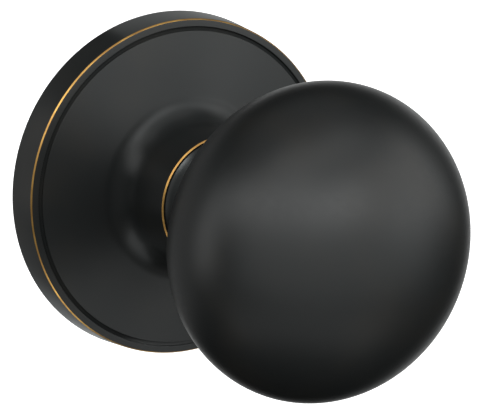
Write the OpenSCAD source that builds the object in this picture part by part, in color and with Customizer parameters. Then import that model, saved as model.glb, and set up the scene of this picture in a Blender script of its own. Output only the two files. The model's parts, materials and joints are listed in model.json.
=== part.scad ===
// Door knob: the outside half of a tubular passage set.
// An oblate hollow ball on a slim neck turns in a round rose. A spring cassette sits behind the rose, inside
// the door's cross bore, and brings the knob back level.
//
// Millimetres, +Z up. The door's face is the plane y = 0 and the spindle's axis is the Y axis, so the origin
// is the middle of the rose's back. The knob stands towards -Y and the spindle enters the door towards +Y.
// Every module draws on the spindle's axis: local z is the distance out from the door's face, local x points
// right and local y points up. on_axis() turns that into the part's frame.

/* [Ball] */
// Diameter of the ball across the spindle
knob_d = 53; // [50:0.5:56]
// Length of the ball along the spindle
knob_len = 40.1; // [38:0.1:44]
// Distance of the ball's centre from the door's face
knob_out = 50.5; // [50:0.1:54]
// Sheet thickness of the ball
knob_wall = 1.2; // [0.8:0.1:1.4]

/* [Neck] */
// Outside diameter of the neck
neck_d = 23.8; // [23:0.1:24]
// Wall of the neck tube
neck_wall = 2.4; // [2:0.1:2.6]
// How far the neck reaches behind the door's face
neck_back = 1.6; // [1.5:0.05:1.7]
// Diameter of the flange that holds the neck in the ball
neck_flange_d = 30; // [28:0.5:31]

/* [Rose] */
// Diameter of the rose where it meets the door
rose_d = 66.7; // [66:0.1:70]
// Diameter of the rose at its front corner
rose_face_d = 64.8; // [64.4:0.1:65.4]
// Distance of the rose's flat face from the door
rose_out = 6.6; // [6.4:0.1:7.2]
// Sheet thickness of the rose
rose_wall = 1.4; // [1.2:0.1:1.5]
// Radius of the sweep from the flat face up to the hub
sweep_r = 4.9; // [4.5:0.1:5.2]
// Draft of the hub's wall
hub_draft = 6.5; // [5:0.5:8]
// Diameter of the hub at its tip
hub_tip_d = 24.9; // [24.8:0.1:25.6]
// Distance of the hub's tip from the door
hub_out = 18.8; // [18.4:0.1:20]
// Width of the bright chamfer on both front corners
edge_w = 0.22; // [0.16:0.02:0.5]
// Radius of the groove round the face
groove_r = 30.55; // [30:0.05:31]
// Radius of the groove's round cut
groove_cut_r = 0.4; // [0.2:0.05:0.5]

/* [Spindle] */
// Side of the square spindle
spindle_side = 7.9; // [7.6:0.1:8]
// How far the spindle reaches into the door
spindle_reach = 58; // [56:1:66]
// Distance of the spindle's front end from the door's face
spindle_out = 42; // [40:0.5:43]

/* [Fixing posts] */
// Distance between the two posts
post_spacing = 38.1; // [38:0.1:38.2]
// Diameter of a post
post_d = 8; // [7.6:0.1:8]
// How far a post reaches into the door
post_reach = 22; // [18:0.5:24]
// Diameter of a post's thread bore
post_thread_d = 4.16; // [3.8:0.02:4.2]
// Depth of a post's thread bore
post_thread_len = 14; // [10:0.5:15]

/* [Spring cassette] */
// Outside diameter of the cage
cage_d = 50.8; // [50.8:0.1:51.6]
// Depth of the cage
cage_deep = 10; // [10:0.1:10.4]
// Wall of the cage
cage_wall = 1.5; // [1.4:0.05:1.5]
// Wire diameter of the return spring
wire_d = 1.4; // [1.2:0.05:1.4]
// Mean radius of the return spring's coil
coil_r = 13.2; // [13.1:0.05:13.3]
// Turn of the knob each way, in degrees
turn = 60; // [45:1:60]

/* [Hidden] */
$fn = 96;
over = 1;                                // how far a cut runs past the surface that it opens

bronze = [0.17, 0.15, 0.14];
zinc = [0.62, 0.63, 0.65];
steel = [0.72, 0.73, 0.75];
brass = [0.80, 0.66, 0.35];
nylon = [0.88, 0.87, 0.82];

neck_r = neck_d / 2;
neck_bore_r = neck_r - neck_wall;
running = 0.05;                          // clearance of turning fits and of moving faces

// Ball: the neck's flange and the core sit against its inside
shell_r = knob_d / 2 - knob_wall;
shell_half = knob_len / 2 - knob_wall;
neck_out = knob_out - 13.9;              // front face of the neck's flange
flange_gap = 0.02;
core_flange_r = 14;
core_flange = 2;
core_nose_r = 9.5;
core_nose = 7.5;
core_tail = 10.6;
socket_side = spindle_side + 0.1;
socket_end = 1;

// Rose: the sweep's arc touches the flat face and cuts the drafted hub wall by a hair
knit = 0.002;
sweep_centre_out = rose_out + sweep_r;
sweep_centre_r = hub_wall_r(sweep_centre_out) + (sweep_r - knit) / cos(hub_draft);
bush_wall = 0.6;
bush_r = neck_r + running + bush_wall;
lip = 7;                                 // how far the hub's solid nose reaches behind its tip
lip_gap = 0.15;                          // visible gap between the nose and the neck

// Snap ring that keeps the plate in the rose
snap_wire_r = 0.5;
snap_r = rose_d / 2 - 1.9;
snap_out = 1.05;

// Mounting plate
plate_out = 3;
plate_edge_back = 1.6;
plate_step_r = 26.5;
plate_r = rose_face_d / 2 - rose_wall + 0.3;
pocket_r = 14.5;                         // pocket behind the plate for the bush flange and the washers
pocket_out = 2;
collar_r = 13.6;
collar_out = 6.5;
rib_w = 2;
rib_end = 29;

// Bush flange, washers and retaining ring, from front to back
bush_flange_r = 14.2;
bush_flange_back = 1.25;
washer_r = 14;
washer_t = 0.45;
washer_front = bush_flange_back - running;
ring_t = 1;
ring_r = 13.4;
ring_groove_r = neck_r - 0.8;
ring_gap = 24;                           // opening of the retaining ring, in degrees
ring_ear_r = 1.3;
ring_hole_r = 0.6;
cone_t = 0.3;                            // sheet thickness of the conical washer

// Spindle, its pin and the break-off notches
pin_r = 1.5;
pin_bore_r = 0.9;
pin_slot = 0.5;
pin_out = 10;
pin_len = neck_d - 0.6;
spindle_round_r = spindle_side * 0.66;   // the bar's corners are turned down to this radius
spindle_chamfer = 1.4;
notch_r = 0.9;
notch_first = 34;
notch_step = 6;
notch_count = 3;

// Driver
driver_front = -neck_back - 0.2;
driver_t = 1.6;
driver_r = 14.2;
driver_pilot_r = neck_bore_r - 0.1;
driver_pilot_out = 3;
arbor_r = 11.3;
arbor_back = -cage_deep + cage_wall + 0.6;
journal_r = 7;
journal_back = -cage_deep - 1.6;
tab_w = 4;
tab_in = 15.5;
tab_end = 18.5;
tab_back = -5.6;
clip_t = 0.7;
clip_r = 8.6;
clip_groove_r = 6.3;
clip_back = -cage_deep - 0.8;

// Cage
cage_r = cage_d / 2;
cage_in_r = cage_r - cage_wall;
cage_floor = -cage_deep + cage_wall;     // inner face of the rear wall
post_clear = 0.3;
post_recess = 0.6;
stop_w = 1.6;
stop_gap = 0.15;
stop_in = 16.5;
stop_back = -3.5;
stop_front = -1.2;
window_w = 9;
window_back = -7;
window_front = -2.5;
window_angles = [-125, -55, 18, 65, 115, 162];
liner_t = 1.5;                           // wall of the cage bush
liner_flange = 0.5;
liner_flange_r = 10;

// Screws and the anchor pin
screw_r = 1.45;
screw_hole_r = 1.5;
screw_head_r = 2.7;
screw_head = 1.6;
screw_circle_r = 21;
screw_angles = [40, 90, 140];
screw_end = 2.4;
boss_r = 3.1;
cross_w = 0.8;
cross_len = 3.2;
cross_deep = 1;
sunk_head_r = 3;
sunk_head = 1.5;
sunk_len = 9;
anchor_circle_r = 20.8;
anchor_r = 2;
anchor_tail_r = 1.5;
anchor_rivet_r = 2.4;
anchor_rivet = 0.6;
anchor_spigot = 1.8;

// Return spring: a coil of nearly two turns with a leg hanging straight down from each end. The front leg
// passes through the driver's tab and the back leg through the anchor pin.
front_leg_end = 18.2;
back_leg_end = 22.6;
leg_hole_r = wire_d / 2 + 0.05;
bend_r = 2;
bend_y = sqrt(pow(coil_r + bend_r, 2) - pow(bend_r, 2));
bend_angle = atan2(bend_r, bend_y);      // how far a bend's centre lies from straight down
coil_front = -4.4;
coil_back = -7.5;
coil_sweep = 720 - 2 * bend_angle;
coil_step = 10;
bend_steps = 6;
wire_sides = 10;

// ---------- helpers ----------

// Turns local z, the distance out from the door, into the part's -Y
module on_axis() {
    rotate([90, 0, 0]) children();
}

// A disc from one distance out to another
module disc(r, from, to) {
    translate([0, 0, from]) cylinder(r = r, h = to - from);
}

// The hole that a spring leg passes through, straight down from one radius to another
module leg_hole(r_in, r_out, out) {
    translate([0, -r_in, out]) rotate([90, 0, 0]) cylinder(r = leg_hole_r, h = r_out - r_in);
}

// A flat ring or a sleeve
module sleeve(r_out, r_in, from, to) {
    difference() {
        disc(r_out, from, to);
        disc(r_in, from - over, to + over);
    }
}

// A rectangular bar along the axis, centred on it
module bar(width, height, from, to) {
    translate([-width / 2, -height / 2, from]) cube([width, height, to - from]);
}

// Moves its children out along a radius, without turning them
module at_polar(radius, angle) {
    translate([radius * cos(angle), radius * sin(angle), 0]) children();
}

// A rectangle in a half section: radii first, then distances out
module section(r_in, r_out, from, to) {
    translate([r_in, from]) square([r_out - r_in, to - from]);
}

// Half section of an ellipsoid centred on the ball
module ball_section(radius, half_len) {
    intersection() {
        translate([0, knob_out]) scale([1, half_len / radius]) circle(r = radius);
        section(0, radius + over, knob_out - half_len - over, knob_out + half_len + over);
    }
}

// Radius of the hub's drafted wall at a distance out from the door
function hub_wall_r(out) = hub_tip_d / 2 + tan(hub_draft) * (hub_out - out);

// Half section of the rose as if it were solid
module rose_section() {
    sweep_top = sweep_centre_out - sweep_r * sin(hub_draft);
    difference() {
        polygon([
            [0, 0], [rose_d / 2, 0], [rose_face_d / 2, rose_out - edge_w],
            [rose_face_d / 2 - edge_w, rose_out], [sweep_centre_r, rose_out],
            [sweep_centre_r, sweep_top], [hub_wall_r(sweep_top), sweep_top],
            [hub_wall_r(hub_out - edge_w), hub_out - edge_w],
            [hub_tip_d / 2 - edge_w, hub_out], [0, hub_out]]);
        translate([sweep_centre_r, sweep_centre_out]) circle(r = sweep_r);
    }
}

// Half section of the hollow under the rose's face and its sweep
module rose_hollow_section() {
    face = rose_out - rose_wall;
    arc_r = sweep_r + rose_wall;
    top = sweep_centre_out - arc_r * sin(hub_draft);
    difference() {
        polygon([
            [0, -over], [rose_d / 2 - rose_wall, -over], [rose_d / 2 - rose_wall, 0],
            [rose_face_d / 2 - rose_wall, face], [sweep_centre_r, face],
            [sweep_centre_r, top], [0, top]]);
        translate([sweep_centre_r, sweep_centre_out]) circle(r = arc_r);
    }
}

// ---------- turning parts ----------

module knob_shell() {
    color(bronze) on_axis() rotate_extrude() difference() {
        ball_section(knob_d / 2, knob_len / 2);
        ball_section(shell_r, shell_half);
        section(0, neck_r, 0, neck_out);
    }
}

module knob_neck() {
    color(bronze) on_axis() difference() {
        rotate_extrude() union() {
            difference() {
                section(neck_bore_r, neck_r, -neck_back, neck_out);
                section(ring_groove_r, neck_r + over, -ring_t, 0);
            }
            intersection() {
                section(neck_bore_r, neck_flange_d / 2, 0, neck_out);
                ball_section(shell_r - flange_gap, shell_half - flange_gap);
            }
        }
        translate([0, 0, pin_out]) rotate([90, 0, 0])
            cylinder(r = pin_r, h = neck_d + 2 * over, center = true);
    }
}

module knob_core() {
    color(zinc) on_axis() difference() {
        union() {
            disc(neck_bore_r, neck_out - core_tail, neck_out);
            disc(core_flange_r, neck_out, neck_out + core_flange);
            disc(core_nose_r, neck_out, neck_out + core_flange + core_nose);
        }
        bar(socket_side, socket_side, neck_out - core_tail - over, spindle_out + socket_end);
    }
}

module spindle() {
    color(steel) on_axis() difference() {
        intersection() {
            bar(spindle_side, spindle_side, -spindle_reach, spindle_out);
            rotate_extrude() polygon([
                [0, -spindle_reach], [spindle_round_r - spindle_chamfer, -spindle_reach],
                [spindle_round_r, -spindle_reach + spindle_chamfer],
                [spindle_round_r, spindle_out - spindle_chamfer],
                [spindle_round_r - spindle_chamfer, spindle_out], [0, spindle_out]]);
        }
        for (i = [0 : notch_count - 1])
            translate([0, 0, -notch_first - i * notch_step])
                rotate_extrude() translate([spindle_side / 2 + 0.5, 0]) circle(r = notch_r);
        translate([0, 0, pin_out]) rotate([90, 0, 0]) cylinder(r = pin_r, h = neck_d, center = true);
    }
}

module spindle_pin() {
    color(steel) on_axis() translate([0, 0, pin_out]) rotate([90, 0, 0]) difference() {
        cylinder(r = pin_r, h = pin_len, center = true);
        cylinder(r = pin_bore_r, h = pin_len + 2 * over, center = true);
        translate([0, -pin_slot / 2, -pin_len / 2 - over]) cube([pin_r + over, pin_slot, pin_len + 2 * over]);
    }
}

module retaining_ring() {
    color(steel) on_axis() translate([0, 0, -ring_t]) difference() {
        union() {
            rotate_extrude(start = 90 + ring_gap / 2, angle = 360 - ring_gap)
                translate([ring_groove_r, 0]) square([ring_r - ring_groove_r, ring_t]);
            for (side = [-1, 1])
                at_polar(ring_r - ring_ear_r / 2, 90 + side * ring_gap / 2)
                    cylinder(r = ring_ear_r, h = ring_t);
        }
        for (side = [-1, 1])
            at_polar(ring_r - ring_ear_r / 2, 90 + side * ring_gap / 2)
                translate([0, 0, -over]) cylinder(r = ring_hole_r, h = ring_t + 2 * over);
        translate([0, 0, -over]) cylinder(r = ring_groove_r, h = ring_t + 2 * over);
    }
}

module spring_washer() {
    color(steel) on_axis() rotate_extrude() polygon([
        [neck_r + 0.4, washer_front - washer_t - cone_t], [ring_r, 0],
        [ring_r, cone_t], [neck_r + 0.4, washer_front - washer_t]]);
}

module thrust_washer() {
    color(brass) on_axis() sleeve(washer_r, neck_r, washer_front - washer_t, washer_front);
}

module spring_driver() {
    color(zinc) on_axis() difference() {
        union() {
            disc(driver_pilot_r, driver_front - driver_t, driver_pilot_out);
            disc(driver_r, driver_front - driver_t, driver_front);
            disc(arbor_r, arbor_back, driver_front - driver_t);
            disc(journal_r, journal_back, arbor_back);
            translate([-tab_w / 2, -tab_end, driver_front - driver_t]) cube([tab_w, tab_end, driver_t]);
            translate([-tab_w / 2, -tab_end, tab_back])
                cube([tab_w, tab_end - tab_in, driver_front - tab_back]);
        }
        bar(socket_side, socket_side, journal_back - over, driver_pilot_out + over);
        leg_hole(tab_in - over, tab_end + over, coil_front);
        sleeve(journal_r + over, clip_groove_r, clip_back, clip_back + clip_t);
    }
}

module arbor_clip() {
    color(steel) on_axis() rotate_extrude(start = 115, angle = 310)
        section(clip_groove_r, clip_r, clip_back, clip_back + clip_t);
}

// ---------- fixed parts ----------

module rose() {
    color(bronze) on_axis() rotate_extrude() difference() {
        rose_section();
        rose_hollow_section();
        section(0, bush_r, -over, hub_out - lip);
        section(0, neck_r + lip_gap, 0, hub_out + over);
        translate([groove_r, rose_out]) circle(r = groove_cut_r);
        translate([snap_r, snap_out]) circle(r = snap_wire_r);
    }
}

module rose_snap_ring() {
    color(steel) on_axis() rotate_extrude(start = 285, angle = 330)
        translate([snap_r, snap_out]) circle(r = snap_wire_r);
}

module mounting_plate() {
    color(zinc) on_axis() difference() {
        union() {
            disc(plate_step_r, 0, plate_out);
            disc(plate_r, plate_edge_back, plate_out);
            disc(collar_r, plate_out, collar_out);
            for (i = [0 : 5])
                rotate([0, 0, 30 + i * 60]) translate([collar_r - over, -rib_w / 2, plate_out - over])
                    cube([rib_end - collar_r + over, rib_w, rose_out - rose_wall - plate_out + over]);
        }
        disc(bush_r, -over, collar_out + over);
        disc(pocket_r, -over, pocket_out);
        for (side = [-1, 1]) translate([side * post_spacing / 2, 0, 0]) {
            disc(post_d / 2, -over, post_recess);
            disc(screw_hole_r, -over, plate_out + over);
            translate([0, 0, plate_out - sunk_head])
                cylinder(r1 = screw_r, r2 = sunk_head_r, h = sunk_head);
        }
        for (angle = screw_angles) at_polar(screw_circle_r, angle) disc(screw_hole_r, -over, screw_end + 0.2);
        at_polar(anchor_circle_r, -90) disc(anchor_tail_r, -over, anchor_spigot + 0.2);
    }
}

module neck_bush() {
    color(nylon) on_axis() difference() {
        union() {
            disc(bush_r, bush_flange_back, hub_out - lip - running);
            disc(bush_flange_r, bush_flange_back, pocket_out);
        }
        disc(neck_r + running, 0, hub_out);
    }
}

// A screw post, side -1 for the left one and 1 for the right one
module screw_post(side) {
    color(zinc) on_axis() translate([side * post_spacing / 2, 0, 0]) difference() {
        union() {
            disc(post_d / 2, -post_reach / 2, post_recess);
            disc(post_d / 2 - 0.3, -post_reach, -post_reach / 2);
        }
        disc(screw_hole_r, -7, post_recess + over);
        disc(post_thread_d / 2, -post_reach - over, -post_reach + post_thread_len);
    }
}

module post_screws() {
    color(steel) on_axis() for (side = [-1, 1]) translate([side * post_spacing / 2, 0, 0]) difference() {
        union() {
            disc(screw_r, plate_out - sunk_len, plate_out - sunk_head);
            translate([0, 0, plate_out - sunk_head])
                cylinder(r1 = screw_r, r2 = sunk_head_r, h = sunk_head);
        }
        cross_recess(plate_out - cross_deep, plate_out + over);
    }
}

// Cross recess for a driver bit
module cross_recess(from, to) {
    bar(cross_len, cross_w, from, to);
    bar(cross_w, cross_len, from, to);
}

module spring_cage() {
    color(steel) on_axis() difference() {
        union() {
            sleeve(cage_r, cage_in_r, -cage_deep, 0);
            disc(cage_in_r + over / 2, -cage_deep, cage_floor);
            for (angle = screw_angles) at_polar(screw_circle_r, angle) disc(boss_r, -cage_deep, 0);
            for (side = [-1, 1]) turn_stop(side);
        }
        for (side = [-1, 1]) translate([side * post_spacing / 2, 0, 0])
            disc(post_d / 2 + post_clear, -cage_deep - over, 0);
        disc(journal_r + running + liner_t, -cage_deep - over, 0);
        for (angle = screw_angles) at_polar(screw_circle_r, angle)
            disc(screw_hole_r, -cage_deep - over, over);
        at_polar(anchor_circle_r, -90) disc(anchor_tail_r, -cage_deep - over, 0);
        for (angle = window_angles) rotate([0, 0, angle])
            translate([cage_r - 2 * cage_wall, -window_w / 2, window_back])
                cube([4 * cage_wall, window_w, window_front - window_back]);
    }
}

// A stop on the cage's wall that the driver's tab reaches just past the end of its turn
module turn_stop(side) {
    near = tab_w / 2 + stop_gap;
    rotate([0, 0, side * turn])
        translate([side > 0 ? near : -near - stop_w, -cage_in_r - 0.4, stop_back])
            cube([stop_w, cage_in_r + 0.4 - stop_in, stop_front - stop_back]);
}

module cage_bush() {
    color(nylon) on_axis() difference() {
        union() {
            disc(journal_r + running + liner_t, -cage_deep, cage_floor);
            disc(liner_flange_r, cage_floor, cage_floor + liner_flange);
        }
        disc(journal_r + running, -cage_deep - over, 0);
    }
}

module cage_screws() {
    color(steel) on_axis() for (angle = screw_angles) at_polar(screw_circle_r, angle) difference() {
        union() {
            disc(screw_head_r, -cage_deep - screw_head, -cage_deep);
            disc(screw_r, -cage_deep, screw_end);
        }
        cross_recess(-cage_deep - screw_head - over, -cage_deep - screw_head + cross_deep);
    }
}

module anchor_pin() {
    color(steel) on_axis() difference() {
        at_polar(anchor_circle_r, -90) {
            disc(anchor_r, cage_floor, 0);
            disc(anchor_tail_r, -cage_deep - anchor_rivet, anchor_spigot);
            disc(anchor_rivet_r, -cage_deep - anchor_rivet, -cage_deep);
        }
        leg_hole(anchor_circle_r - anchor_r - over, anchor_circle_r + anchor_r + over, coil_back);
    }
}

// ---------- return spring ----------

// A point on a bend, from its leg (part 0) to the coil (part 1). side is 1 for the front leg, -1 for the
// back leg.
function bend_point(side, part, z) =
    let (a = (90 + bend_angle) * part)
    [side * bend_r * (1 - cos(a)), -bend_y + bend_r * sin(a), z];

function coil_point(part) =
    let (a = -90 + bend_angle + coil_sweep * part)
    [coil_r * cos(a), coil_r * sin(a), coil_front + (coil_back - coil_front) * part];

coil_count = ceil(coil_sweep / coil_step);
spring_path = concat(
    [[0, -front_leg_end, coil_front]],
    [for (i = [0 : bend_steps - 1]) bend_point(1, i / bend_steps, coil_front)],
    [for (i = [0 : coil_count]) coil_point(i / coil_count)],
    [for (i = [bend_steps - 1 : -1 : 0]) bend_point(-1, i / bend_steps, coil_back)],
    [[0, -back_leg_end, coil_back]]);

function unit(v) = v / norm(v);
function path_tangent(path, i) =
    unit(path[min(i + 1, len(path) - 1)] - path[max(i - 1, 0)]);

// A round wire along a path that stays near the plane square to the axis
module wire(path, r, sides) {
    rings = [for (i = [0 : len(path) - 1])
        let (t = path_tangent(path, i), side_dir = unit(cross([0, 0, 1], t)), up_dir = cross(t, side_dir))
        [for (k = [0 : sides - 1])
            path[i] + r * cos(k * 360 / sides) * side_dir + r * sin(k * 360 / sides) * up_dir]];
    last = len(path) - 1;
    polyhedron(
        points = [for (ring = rings) for (p = ring) p],
        faces = concat(
            [[for (k = [0 : sides - 1]) k]],
            [for (i = [0 : last - 1]) for (k = [0 : sides - 1])
                [i * sides + k, (i + 1) * sides + k, (i + 1) * sides + (k + 1) % sides,
                 i * sides + (k + 1) % sides]],
            [[for (k = [sides - 1 : -1 : 0]) last * sides + k]]));
}

module return_spring() {
    color(steel) on_axis() wire(spring_path, wire_d / 2, wire_sides);
}

// ---------- nodes ----------

knob_shell();
knob_neck();
knob_core();
spindle();
spindle_pin();
retaining_ring();
spring_washer();
thrust_washer();
spring_driver();
arbor_clip();
rose();
rose_snap_ring();
mounting_plate();
neck_bush();
screw_post(-1);  // screw_post_left
screw_post(1);  // screw_post_right
post_screws();
spring_cage();
cage_bush();
cage_screws();
anchor_pin();
return_spring();
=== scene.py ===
"""Looks of the door knob: nearly black bronze with bright rubbed corners, over the CAD frame."""
import json
import math

import bmesh
import bpy
from mathutils import Matrix, Vector


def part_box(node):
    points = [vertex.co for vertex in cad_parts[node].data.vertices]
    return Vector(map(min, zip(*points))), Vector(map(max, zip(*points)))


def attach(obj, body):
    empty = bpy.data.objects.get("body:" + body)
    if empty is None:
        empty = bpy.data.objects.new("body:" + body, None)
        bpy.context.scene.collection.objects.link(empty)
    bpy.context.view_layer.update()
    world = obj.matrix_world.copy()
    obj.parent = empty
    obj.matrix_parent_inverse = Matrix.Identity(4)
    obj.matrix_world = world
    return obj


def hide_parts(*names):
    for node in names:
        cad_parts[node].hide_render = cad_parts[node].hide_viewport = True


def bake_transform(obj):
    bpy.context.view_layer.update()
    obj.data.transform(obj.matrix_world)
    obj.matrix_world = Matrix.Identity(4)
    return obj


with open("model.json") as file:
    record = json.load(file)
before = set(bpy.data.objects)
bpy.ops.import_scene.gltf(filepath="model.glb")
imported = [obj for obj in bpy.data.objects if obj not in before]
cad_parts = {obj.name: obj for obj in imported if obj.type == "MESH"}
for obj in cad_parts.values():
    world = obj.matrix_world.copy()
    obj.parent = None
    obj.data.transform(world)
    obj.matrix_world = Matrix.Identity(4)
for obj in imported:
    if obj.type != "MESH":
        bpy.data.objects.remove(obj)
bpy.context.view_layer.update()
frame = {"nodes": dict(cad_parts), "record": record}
MM = 0.001


def node_box(node):
    """Lowest and highest corner of a CAD node, in millimetres."""
    low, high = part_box(node)
    return low / MM, high / MM


# ---------------------------------------------------------------- shape of the visible shells, in millimetres
# Ball and neck. NECK_END is the corner radius of the neck's end behind the door's face.
BALL_WALL = 1.2
NECK_R = 11.9
NECK_WALL = 2.4
NECK_IN_BALL = 1
NECK_END = 0.2

# Rose: radii, and distances out from the door. EDGE is the width of the bright chamfer on both front corners.
ROSE_FACE_R = 32.4
ROSE_WALL = 1.4
FACE_OUT = 6.6
EDGE = 0.22
GROOVE_R = 30.55
GROOVE_HALF = 0.42
GROOVE_DEEP = 0.4
GROOVE_TAPER = 0.1
SWEEP_R = 4.9
SWEEP_END_R = 18.7
HUB_DRAFT = math.radians(6.5)
HUB_OUT = -node_box("rose")[0].y
HUB_TIP_R = 12.45
HUB_BORE_R = 12.55
NOSE_BORE_R = 12.05
NOSE_LEN = 7
INNER_FOOT = 0.6
# Corner radii of the rose's outline
CRISP = 0.05
GROOVE_LIP = 0.08
GROOVE_ROOT = 0.15
DOOR_EDGE = 0.15
DOOR_EDGE_INSIDE = 0.1
RIM_INSIDE = 0.3

# Return spring: distances out from the door, radii and leg ends.
WIRE_R = 0.7
COIL_R = 13.2
COIL_FRONT = -4.4
COIL_BACK = -7.5
BEND_R = 2
FRONT_LEG_END = 18.2
BACK_LEG_END = 22.6

# How many flat sides a round shell has
AROUND = 256


# ---------------------------------------------------------------- mesh helpers
def rounded(points, steps=10):
    """A closed outline from (radius, out, corner radius) points, with an arc where the radius isn't 0."""
    outline = []
    count = len(points)
    for i, (x, y, corner) in enumerate(points):
        here = Vector((x, y))
        if corner <= 0:
            outline.append(here)
            continue
        before = Vector(points[i - 1][:2]) - here
        after = Vector(points[(i + 1) % count][:2]) - here
        half = before.angle(after) / 2
        reach = corner / math.tan(half)
        centre = here + (before.normalized() + after.normalized()).normalized() * corner / math.sin(half)
        start = here + before.normalized() * reach - centre
        end = here + after.normalized() * reach - centre
        sweep = start.angle_signed(end)
        for k in range(steps + 1):
            outline.append(centre + Matrix.Rotation(-sweep * k / steps, 2) @ start)
    return outline


def add_piece(name, bm):
    """A new smooth-shaded object from a bmesh."""
    bmesh.ops.recalc_face_normals(bm, faces=bm.faces)
    for face in bm.faces:
        face.smooth = True
    mesh = bpy.data.meshes.new(name)
    bm.to_mesh(mesh)
    bm.free()
    piece = bpy.data.objects.new(name, mesh)
    bpy.context.scene.collection.objects.link(piece)
    return piece


def lathe(name, outline):
    """A closed solid of revolution about the spindle's axis."""
    bm = bmesh.new()
    rings = []
    for radius, out in outline:
        if radius < 1e-6:
            rings.append([bm.verts.new((0, -out * MM, 0))])
            continue
        rings.append([bm.verts.new((radius * MM * math.cos(a), -out * MM, radius * MM * math.sin(a)))
                      for a in (2 * math.pi * k / AROUND for k in range(AROUND))])
    for i, ring in enumerate(rings):
        after = rings[(i + 1) % len(rings)]
        if len(ring) == 1 and len(after) == 1:
            continue
        for k in range(AROUND):
            j = (k + 1) % AROUND
            corners = [ring[k % len(ring)], ring[j % len(ring)], after[j % len(after)], after[k % len(after)]]
            bm.faces.new([v for n, v in enumerate(corners) if v not in corners[:n]])
    return add_piece(name, bm)


def wire(name, path, radius, sides=20):
    """A round wire with flat ends along a path of points that stays near a plane square to the spindle."""
    bm = bmesh.new()
    rings = []
    for i, point in enumerate(path):
        along = (path[min(i + 1, len(path) - 1)] - path[max(i - 1, 0)]).normalized()
        side = Vector((0, 1, 0)).cross(along).normalized()
        up = along.cross(side)
        rings.append([bm.verts.new(point + radius * (math.cos(a) * side + math.sin(a) * up))
                      for a in (2 * math.pi * k / sides for k in range(sides))])
    for ring, after in zip(rings, rings[1:]):
        for k in range(sides):
            j = (k + 1) % sides
            bm.faces.new([ring[k], ring[j], after[j], after[k]])
    bm.faces.new(rings[0])
    bm.faces.new(rings[-1])
    return add_piece(name, bm)


# ---------------------------------------------------------------- visible pieces
def make_ball():
    """A hollow oblate ball, open where it meets the neck."""
    low, high = node_box("knob_shell")
    radius = high.x
    front, back = -low.y, -high.y
    # The ellipsoid is cut off at the back where it is as narrow as the neck, at this share of its half length
    share = math.sqrt(1 - (NECK_R / radius) ** 2)
    half = (front - back) / (1 + share)
    centre = front - half
    steps = 96

    def arc(r, h, first, last):
        return [(r * math.sin(a), centre - h * math.cos(a))
                for a in (first + (last - first) * k / steps for k in range(steps + 1))]

    outer = arc(radius, half, math.asin(NECK_R / radius), math.pi)
    outer[-1] = (0, front)
    inner = arc(radius - BALL_WALL, half - BALL_WALL, math.pi, math.asin(NECK_R / (radius - BALL_WALL)))
    inner[0] = (0, front - BALL_WALL)
    return lathe("ball", outer + inner)


def hub_wall_r(out):
    """Radius of the hub's drafted wall at a distance out from the door."""
    return HUB_TIP_R + math.tan(HUB_DRAFT) * (HUB_OUT - out)


def make_rose(bronze, rubbed):
    """The rose, in dark bronze all over but for the two rubbed chamfers. Inside, the sweep starts INNER_FOOT
    further from the hub than outside."""
    rose_r = node_box("rose")[1].x
    foot_r = hub_wall_r(FACE_OUT)
    groove_in, groove_end = GROOVE_R - GROOVE_HALF, GROOVE_R + GROOVE_HALF
    points = [
        (rose_r, 0, DOOR_EDGE),
        (ROSE_FACE_R, FACE_OUT - EDGE, CRISP),
        (ROSE_FACE_R - EDGE, FACE_OUT, CRISP),
        (groove_end, FACE_OUT, GROOVE_LIP),
        (groove_end - GROOVE_TAPER, FACE_OUT - GROOVE_DEEP, GROOVE_ROOT),
        (groove_in + GROOVE_TAPER, FACE_OUT - GROOVE_DEEP, GROOVE_ROOT),
        (groove_in, FACE_OUT, GROOVE_LIP),
        (foot_r, FACE_OUT, SWEEP_R),
        (hub_wall_r(HUB_OUT - EDGE), HUB_OUT - EDGE, CRISP),
        (HUB_TIP_R - EDGE, HUB_OUT, CRISP),
        (NOSE_BORE_R, HUB_OUT, CRISP),
        (NOSE_BORE_R, HUB_OUT - NOSE_LEN, 0),
        (HUB_BORE_R, HUB_OUT - NOSE_LEN, 0),
        (HUB_BORE_R, FACE_OUT + SWEEP_R - ROSE_WALL, 0),
        (foot_r + INNER_FOOT, FACE_OUT - ROSE_WALL, SWEEP_R),
        (ROSE_FACE_R - ROSE_WALL, FACE_OUT - ROSE_WALL, RIM_INSIDE),
        (rose_r - ROSE_WALL, 0, DOOR_EDGE_INSIDE),
    ]
    rose = lathe("rose_cover", rounded(points))
    rose.data.materials.append(bronze)
    rose.data.materials.append(rubbed)
    # A chamfer's faces lie out beyond its inner corner and slope between the wall and the flat face
    corners = [(ROSE_FACE_R - EDGE, FACE_OUT - EDGE), (HUB_TIP_R - EDGE, HUB_OUT - EDGE)]
    near = 0.02
    for face in rose.data.polygons:
        radius = math.hypot(face.center.x, face.center.z) / MM
        out = -face.center.y / MM
        sloping = 0.3 < abs(face.normal.y) < 0.97
        if sloping and any(r < radius + near and o < out + near for r, o in corners):
            face.material_index = 1
    return rose


def make_neck():
    """The neck tube, from behind the door's face to just inside the ball."""
    back = -node_box("knob_neck")[1].y
    front = NECK_IN_BALL - node_box("knob_shell")[1].y
    bore = NECK_R - NECK_WALL
    points = [(NECK_R, back, NECK_END), (NECK_R, front, 0), (bore, front, 0), (bore, back, NECK_END)]
    return lathe("neck_tube", rounded(points))


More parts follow.
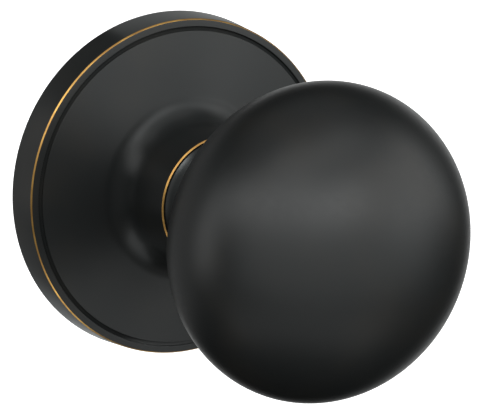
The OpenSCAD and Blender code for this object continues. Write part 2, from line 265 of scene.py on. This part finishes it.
def make_spring():
    """A coil of nearly two turns with a leg hanging straight down from each end."""
    bend_drop = math.sqrt((COIL_R + BEND_R) ** 2 - BEND_R ** 2)
    bend_turn = math.atan2(BEND_R, bend_drop)
    coil_sweep = 4 * math.pi - 2 * bend_turn
    bend_steps = 16
    coil_steps = 240

    def place(x, z, out):
        return Vector((x, -out, z)) * MM

    def bend(side, part, out):
        a = (math.pi / 2 + bend_turn) * part
        return place(side * BEND_R * (1 - math.cos(a)), BEND_R * math.sin(a) - bend_drop, out)

    def coil(part):
        a = coil_sweep * part + bend_turn - math.pi / 2
        return place(COIL_R * math.cos(a), COIL_R * math.sin(a), COIL_FRONT + (COIL_BACK - COIL_FRONT) * part)

    path = [place(0, -FRONT_LEG_END, COIL_FRONT)]
    path += [bend(1, k / bend_steps, COIL_FRONT) for k in range(bend_steps)]
    path += [coil(k / coil_steps) for k in range(coil_steps + 1)]
    path += [bend(-1, k / bend_steps, COIL_BACK) for k in range(bend_steps - 1, -1, -1)]
    path.append(place(0, -BACK_LEG_END, COIL_BACK))
    return wire("spring_wire", path, WIRE_R * MM)


# ---------------------------------------------------------------- shader helpers
class Graph:
    """Adds nodes to one shader tree. A value can be a number, a tuple or another node's output."""

    def __init__(self, tree):
        self.tree = tree

    def feed(self, socket, value):
        if isinstance(value, bpy.types.NodeSocket):
            self.tree.links.new(value, socket)
        else:
            socket.default_value = value

    def add(self, kind, values=(), **settings):
        node = self.tree.nodes.new("ShaderNode" + kind)
        for name, value in settings.items():
            setattr(node, name, value)
        for key, value in dict(values).items():
            self.feed(node.inputs[key], value)
        return node

    def math(self, operation, *values):
        return self.add("Math", enumerate(values), operation=operation).outputs[0]

    def ramp(self, value, start, end, low=0.0, high=1.0):
        """Runs smoothly from low to high while value runs from start to end."""
        values = {"Value": value, "From Min": start, "From Max": end, "To Min": low, "To Max": high}
        return self.add("MapRange", values, interpolation_type="SMOOTHSTEP").outputs[0]

    def mix(self, share, first, second):
        values = {0: share, 6: first, 7: second}
        return self.add("Mix", values, data_type="RGBA").outputs[2]

    def noise(self, place, size, detail=3.0, stretch=(1, 1, 1)):
        """Noise from about 0.3 to 0.7 with features about size millimetres across, drawn out by stretch."""
        scale = tuple(1 / (size * MM * s) for s in stretch)
        mapped = self.add("Mapping", {"Vector": place, "Scale": scale}).outputs[0]
        return self.add("TexNoise", {"Vector": mapped, "Scale": 1.0, "Detail": detail}).outputs[0]

    def place(self):
        return self.add("TexCoord").outputs["Object"]

    def bump(self, height, depth, strength=1.0, normal=None):
        """A bump of depth millimetres."""
        values = {"Height": height, "Distance": depth * MM, "Strength": strength}
        if normal:
            values["Normal"] = normal
        return self.add("Bump", values).outputs[0]

    def polar(self):
        """Radius, distance out from the door and angle round the spindle of the point that is shaded."""
        x, y, z = self.add("SeparateXYZ", {0: self.place()}).outputs
        radius = self.math("SQRT", self.math("ADD", self.math("MULTIPLY", x, x), self.math("MULTIPLY", z, z)))
        return radius, self.math("MULTIPLY", y, -1.0), self.math("ARCTAN2", z, x)


def new_material(name):
    material = bpy.data.materials.new(name)
    material.use_nodes = True
    return material, Graph(material.node_tree), material.node_tree.nodes["Principled BSDF"]


# ---------------------------------------------------------------- bronze
SATIN_ROUGHNESS = 0.38
FACE_ROUGHNESS = 0.42
WALL_ROUGHNESS = 0.28
NECK_ROUGHNESS = 0.3
BRONZE_DARK = (0.0115, 0.0125, 0.0125, 1)
BRONZE_WARM = (0.0165, 0.0160, 0.0145, 1)
RUBBED = (0.72, 0.42, 0.12, 1)
RUBBED_DEEP = (0.48, 0.26, 0.08, 1)
# Heights above the spindle between which the painted shade in the groove fades out towards the bottom, in
# millimetres
GROOVE_SHADE_FADES_FROM = -26
GROOVE_SHADE_FADES_TO = -29.5
# How strong the painted shade is on the groove's lowest stretch and on the hub, where 1 is as strong as in
# the rest of the groove
GROOVE_BOTTOM_SHADE = 0.1
HUB_PAINTED_SHADE = 0.6


def patina(graph, shader):
    """Nearly black patina: faint warm clouds and the fine skin of the lacquer."""
    place = graph.place()
    clouds = graph.noise(place, 14, 2.0)
    skin = graph.noise(place, 0.22, 2.0)
    warm = graph.ramp(clouds, 0.4, 0.75)
    graph.feed(shader.inputs["Base Color"], graph.mix(warm, BRONZE_DARK, BRONZE_WARM))
    graph.feed(shader.inputs["Normal"], graph.bump(skin, 0.002, 0.25))


def uneven_satin(graph, shader, roughness):
    fine = graph.noise(graph.place(), 0.9, 4.0)
    graph.feed(shader.inputs["Roughness"], graph.ramp(fine, 0.3, 0.7, roughness - 0.02, roughness + 0.02))


def satin_bronze(name):
    material, graph, shader = new_material(name)
    patina(graph, shader)
    uneven_satin(graph, shader, SATIN_ROUGHNESS)
    return material


def neck_bronze(name):
    """Smoother bronze whose reflection is turned down from a little way out from the hub to a few millimetres
    further: painted shade of the ball on the neck.
    """
    material, graph, shader = new_material(name)
    patina(graph, shader)
    uneven_satin(graph, shader, NECK_ROUGHNESS)
    _, out, _ = graph.polar()
    # Painted shade of the ball: the reflection drops from 0.2 by the hub to 0.07 from 1.9 mm out, and rises
    # again from 3.7 mm out
    painted_ball_shade = graph.ramp(out, (HUB_OUT + 0.3) * MM, (HUB_OUT + 1.9) * MM, 0.2, 0.07)
    past_it = graph.ramp(out, (HUB_OUT + 3.7) * MM, (HUB_OUT + 6.2) * MM, 0.0, 0.35)
    shine_with_painted_shade = graph.math("ADD", painted_ball_shade, past_it)
    graph.feed(shader.inputs["Specular IOR Level"], shine_with_painted_shade)
    return material


def painted_shade_and_back_edge(graph, radius, out, angle):
    """Where the rose's reflection is turned down: painted shade in the groove but for its lowest stretch, and
    partly on the sweep and the hub; and darker along the back edge."""
    from_groove = graph.math("ABSOLUTE", graph.math("SUBTRACT", radius, GROOVE_R * MM))
    # Painted shade in the groove, faded out over its lowest stretch
    in_groove = graph.ramp(from_groove, (GROOVE_HALF + 0.08) * MM, (GROOVE_HALF - 0.12) * MM)
    in_face = graph.ramp(out, (FACE_OUT - 1.6) * MM, (FACE_OUT - 1.1) * MM)
    height = graph.math("MULTIPLY", radius, graph.math("SINE", angle))
    groove_shade_share = graph.ramp(height, GROOVE_SHADE_FADES_TO * MM, GROOVE_SHADE_FADES_FROM * MM, GROOVE_BOTTOM_SHADE, 1)
    groove = graph.math("MULTIPLY", graph.math("MULTIPLY", in_groove, in_face), groove_shade_share)
    back_edge = graph.ramp(out, 0.35 * MM, 0.15 * MM)
    # Painted shade on the sweep and the hub, where the ball keeps the light off
    hub = graph.ramp(radius, (SWEEP_END_R - 0.1) * MM, (SWEEP_END_R - 1.9) * MM, 0.0, HUB_PAINTED_SHADE)
    return graph.math("MAXIMUM", hub, graph.math("MAXIMUM", groove, back_edge))


def spun_bronze(name):
    """Bronze finished on a lathe: light spreads across the turning marks of the flat face, and the side wall
    and the sweep are smoother."""
    material, graph, shader = new_material(name)
    patina(graph, shader)
    radius, out, angle = graph.polar()
    # Reflection turned down by the painted shade in the groove and on the sweep and hub, and along the back
    # edge
    painted_dimming = painted_shade_and_back_edge(graph, radius, out, angle)
    graph.feed(shader.inputs["Specular IOR Level"], graph.ramp(painted_dimming, 0, 1, 0.5, 0.08))
    wall = graph.ramp(radius, (ROSE_FACE_R - 0.05) * MM, (ROSE_FACE_R + 0.05) * MM)
    sweep = graph.ramp(radius, (SWEEP_END_R + 0.3) * MM, (SWEEP_END_R - 1.7) * MM)
    smooth = graph.math("MAXIMUM", wall, sweep)
    graph.feed(shader.inputs["Roughness"], graph.ramp(smooth, 0, 1, FACE_ROUGHNESS, WALL_ROUGHNESS))
    shader.inputs["Anisotropic"].default_value = 0.88
    shader.inputs["Anisotropic Rotation"].default_value = 0.25
    tangent = graph.add("Tangent", direction_type="RADIAL", axis="Y").outputs[0]
    graph.feed(shader.inputs["Tangent"], tangent)
    return material


def rubbed_metal(name):
    """The bright metal under the patina, deeper in colour where the rubbing was light."""
    material, graph, shader = new_material(name)
    place = graph.place()
    share = graph.ramp(graph.noise(place, 5, 3.0), 0.35, 0.65)
    graph.feed(shader.inputs["Base Color"], graph.mix(share, RUBBED_DEEP, RUBBED))
    graph.feed(shader.inputs["Roughness"], graph.ramp(graph.noise(place, 0.4), 0.3, 0.7, 0.28, 0.42))
    shader.inputs["Metallic"].default_value = 1
    return material


# ---------------------------------------------------------------- metals and plastic of the mechanism
def worked_metal(name, colour, tint, worn, roughness, size, stretch=(1, 1, 1), depth=0.01):
    """Metal with patches of tint, grain that can be drawn out, and edges worn to a third colour."""
    material, graph, shader = new_material(name)
    place = graph.place()
    patches = graph.noise(place, 7, 3.0)
    grain = graph.noise(place, size, 4.0, stretch)
    soft = graph.add("Bevel", {"Radius": 0.25 * MM}, samples=4).outputs[0]
    facing = graph.add("VectorMath", {0: soft, 1: graph.add("NewGeometry").outputs["Normal"]},
                       operation="DOT_PRODUCT").outputs["Value"]
    edge = graph.math("MULTIPLY", graph.ramp(facing, 0.995, 0.9), graph.ramp(patches, 0.3, 0.6))
    body = graph.mix(graph.ramp(patches, 0.38, 0.66), colour + (1,), tint + (1,))
    graph.feed(shader.inputs["Base Color"], graph.mix(edge, body, worn + (1,)))
    graph.feed(shader.inputs["Roughness"], graph.ramp(grain, 0.3, 0.7, roughness - 0.07, roughness + 0.07))
    graph.feed(shader.inputs["Normal"], graph.bump(grain, depth, 0.5, soft))
    shader.inputs["Metallic"].default_value = 1
    return material


def nylon_plastic(name):
    """Natural nylon: cloudy off-white that light enters a little way."""
    material, graph, shader = new_material(name)
    place = graph.place()
    clouds = graph.ramp(graph.noise(place, 6), 0.35, 0.65)
    graph.feed(shader.inputs["Base Color"], graph.mix(clouds, (0.72, 0.70, 0.62, 1), (0.80, 0.78, 0.70, 1)))
    graph.feed(shader.inputs["Roughness"], graph.ramp(graph.noise(place, 0.5), 0.3, 0.7, 0.4, 0.5))
    graph.feed(shader.inputs["Normal"], graph.bump(graph.noise(place, 0.35), 0.01, 0.4))
    shader.inputs["Subsurface Weight"].default_value = 0.3
    shader.inputs["Subsurface Scale"].default_value = 0.8 * MM
    return material


def make_finishes():
    """Material for each slot of the record that a CAD node takes its finish from."""
    along_axis = (1, 40, 1)
    return {
        "aged_bronze": satin_bronze("satin_bronze"),
        "aged_bronze_neck": neck_bronze("neck_bronze"),
        "aged_bronze_rose": spun_bronze("spun_bronze"),
        "zinc_casting": worked_metal("zinc_casting", (0.36, 0.37, 0.38), (0.29, 0.30, 0.31),
                                     (0.60, 0.61, 0.62), 0.52, 0.5, depth=0.03),
        "plated_steel": worked_metal("plated_steel", (0.56, 0.58, 0.60), (0.50, 0.53, 0.58),
                                     (0.72, 0.73, 0.74), 0.30, 0.12, along_axis, 0.006),
        "plated_sheet": worked_metal("plated_sheet", (0.60, 0.50, 0.27), (0.50, 0.50, 0.36),
                                     (0.74, 0.71, 0.60), 0.34, 0.3, depth=0.008),
        "spring_steel": worked_metal("spring_steel", (0.20, 0.21, 0.23), (0.15, 0.15, 0.17),
                                     (0.42, 0.43, 0.45), 0.34, 0.2, depth=0.004),
        "screw_steel": worked_metal("screw_steel", (0.60, 0.62, 0.64), (0.54, 0.57, 0.62),
                                    (0.76, 0.77, 0.78), 0.28, 0.2, depth=0.005),
        "brass_washer": worked_metal("brass_washer", (0.72, 0.52, 0.22), (0.62, 0.42, 0.17),
                                     (0.86, 0.68, 0.36), 0.30, 0.25, depth=0.005),
        "nylon": nylon_plastic("nylon"),
    }


# ---------------------------------------------------------------- stage
# Camera: angles in degrees, distances in metres, and the lens in millimetres
CAMERA_AZIMUTH = -31.2
CAMERA_ELEVATION = 14.2
CAMERA_DISTANCE = 0.2592
CAMERA_RIGHT = 0.01289
CAMERA_DOWN = 0.00504
CAMERA_LENS = 100.03

FLOOR_DOWN = 0.6
FLOOR_HALF = 8.0

# Soft studio light from all round: azimuth and elevation of each softbox's middle, its half width and half
# height, all in degrees, and its strength. Azimuth 0 is straight out from the door, 90 to its right. Each
# softbox fades out across SOFT_EDGE degrees on either side of its edge.
SOFT_EDGE = 9
STUDIO_TINT = (0.985, 1.0, 0.995)
SOFTBOXES = {
    "front": (10, 38, 66, 17, 0.22),
    "front_left": (-52, 31, 39, 12, 2.35),
    "front_middle": (5, 25, 19, 9, 3.4),
    "front_right": (58, 19, 27, 20, 1.25),
    "front_low": (-4, -2, 68, 25, 0.25),
    "front_top": (-6, 58, 60, 9, 1.25),
    "bounce": (-21, -45, 66, 10, 0.55),
    "left": (-106, 10, 12, 25, 1.5),
    "behind": (205, -4, 29, 32, 0.25),
    "top": (0, 74, 180, 19, 0.23),
    "backdrop": (143, -11, 27, 27, 1.0),
}
# Cards that light one piece only: azimuth, elevation, width and height at CARD_AWAY metres, and strength
CARD_AWAY = 1.0
CARD_TINT = (0.95, 1.0, 1.0)
BALL_CARDS = {"ball_fill": (-4, -2, 3.6, 0.95, 0.47)}
ROSE_CARDS = {
    "rose_key": (22, 26, 1.3, 0.5, 1.9),
    "rose_side": (35, -12, 0.8, 0.5, 0.7),
    "rose_bounce": (-48, -60, 0.7, 0.5, 1.6),
    "rose_back_high": (150, 32, 0.6, 0.4, 0.5),
    "rose_back_low": (165, -36, 0.8, 0.5, 0.5),
    "rose_under": (112, -64, 0.8, 0.5, 0.8),
}
NECK_CARDS = {"neck_key": (-122, 52, 0.5, 0.4, 15.0)}


def aim(thing, azimuth, elevation, away, aside=0.0, above=0.0):
    """Turns a camera or light to look from a direction, in degrees, and puts it away metres from the origin
    and then aside to its own right and above."""
    turn, tilt = math.radians(azimuth), math.radians(elevation)
    back = Vector((math.sin(turn) * math.cos(tilt), -math.cos(turn) * math.cos(tilt), math.sin(tilt)))
    right = Vector((math.cos(turn), math.sin(turn), 0))
    up = back.cross(right)
    place = back * away + right * aside + up * above
    thing.matrix_world = Matrix.Translation(place) @ Matrix((right, up, back)).transposed().to_4x4()


def make_camera():
    data = bpy.data.cameras.new("camera")
    data.lens = CAMERA_LENS
    data.sensor_width = 36
    data.clip_start = 0.01
    data.clip_end = 30
    camera = bpy.data.objects.new("camera", data)
    bpy.context.scene.collection.objects.link(camera)
    aim(camera, CAMERA_AZIMUTH, CAMERA_ELEVATION, CAMERA_DISTANCE, CAMERA_RIGHT, -CAMERA_DOWN)
    bpy.context.scene.camera = camera


def make_studio():
    """White to the camera, and lit by the softboxes for everything else."""
    world = bpy.data.worlds.new("studio")
    bpy.context.scene.world = world
    world.use_nodes = True
    graph = Graph(world.node_tree)
    x, y, z = graph.add("SeparateXYZ", {0: graph.add("TexCoord").outputs["Generated"]}).outputs
    azimuth = graph.math("ARCTAN2", x, graph.math("MULTIPLY", y, -1.0))
    elevation = graph.math("ARCSINE", z)

    def inside(angle, half):
        full, none = math.radians(half - SOFT_EDGE), math.radians(half + SOFT_EDGE)
        return graph.ramp(graph.math("ABSOLUTE", angle), full, none, 1.0, 0.0)

    total = 0.0
    for centre, height, half_width, half_height, strength in SOFTBOXES.values():
        aside = graph.math("WRAP", graph.math("SUBTRACT", azimuth, math.radians(centre)), math.pi, -math.pi)
        above = graph.math("SUBTRACT", elevation, math.radians(height))
        shape = graph.math("MULTIPLY", inside(aside, half_width), inside(above, half_height))
        total = graph.math("MULTIPLY_ADD", shape, strength, total)
    seen = world.node_tree.nodes["Background"]
    seen.inputs["Color"].default_value = (1, 1, 1, 1)
    lit = graph.add("Background", {"Color": STUDIO_TINT + (1,), "Strength": total})
    camera_ray = graph.add("LightPath").outputs["Is Camera Ray"]
    mix = graph.add("MixShader", {0: camera_ray, 1: lit.outputs[0], 2: seen.outputs[0]})
    graph.feed(world.node_tree.nodes["World Output"].inputs["Surface"], mix.outputs[0])


def make_card(name, layout, piece):
    """A rectangular card of light that only one piece catches."""
    azimuth, elevation, width, height, strength = layout
    data = bpy.data.lights.new(name, "AREA")
    data.shape = "RECTANGLE"
    data.size = width
    data.size_y = height
    data.energy = strength * math.pi * width * height
    data.color = CARD_TINT
    card = bpy.data.objects.new(name, data)
    bpy.context.scene.collection.objects.link(card)
    aim(card, azimuth, elevation, CARD_AWAY)
    card.visible_camera = False
    lit = bpy.data.collections.new(name + "_lit")
    lit.objects.link(piece)
    card.light_linking.receiver_collection = lit


def make_floor():
    """A pale floor far below the knob, seen by the camera only, so that the underside stays dark."""
    mesh = bpy.data.meshes.new("floor")
    corners = [(x * FLOOR_HALF, y * FLOOR_HALF, -FLOOR_DOWN) for x, y in ((-1, -1), (1, -1), (1, 1), (-1, 1))]
    mesh.from_pydata(corners, [], [(0, 1, 2, 3)])
    floor = bpy.data.objects.new("floor", mesh)
    bpy.context.scene.collection.objects.link(floor)
    floor.visible_diffuse = False
    floor.visible_glossy = False
    floor.visible_shadow = False
    material, _, shader = new_material("pale_floor")
    shader.inputs["Base Color"].default_value = (0.9, 0.9, 0.9, 1)
    shader.inputs["Roughness"].default_value = 0.8
    shader.inputs["Emission Color"].default_value = (1, 1, 1, 1)
    shader.inputs["Emission Strength"].default_value = 1.0
    mesh.materials.append(material)


# ---------------------------------------------------------------- build
def dress_frame(finishes):
    """Gives each CAD node the finish that the record names for it."""
    for row in frame["record"]["subparts"]:
        node = frame["nodes"][row["node"]]
        node.data.materials.clear()
        node.data.materials.append(finishes[row["material_slot"]])


def fit(piece, node, body, material=None):
    """Puts a piece in a CAD node's place, and on a body if it rides one."""
    if material:
        piece.data.materials.append(material)
    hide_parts(node)
    if body:
        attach(piece, body)


finishes = make_finishes()
dress_frame(finishes)
ball = make_ball()
rose = make_rose(finishes["aged_bronze_rose"], rubbed_metal("rubbed_metal"))
fit(ball, "knob_shell", "knob", finishes["aged_bronze"])
neck = make_neck()
fit(neck, "knob_neck", "knob", finishes["aged_bronze_neck"])
fit(rose, "rose", "rose")
spring = make_spring()
fit(spring, "return_spring", None, finishes["spring_steel"])
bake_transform(spring)

make_studio()
for piece, cards in ((ball, BALL_CARDS), (rose, ROSE_CARDS), (neck, NECK_CARDS)):
    for name, layout in cards.items():
        make_card(name, layout, piece)
make_floor()
make_camera()
bpy.context.scene.view_settings.view_transform = "Standard"
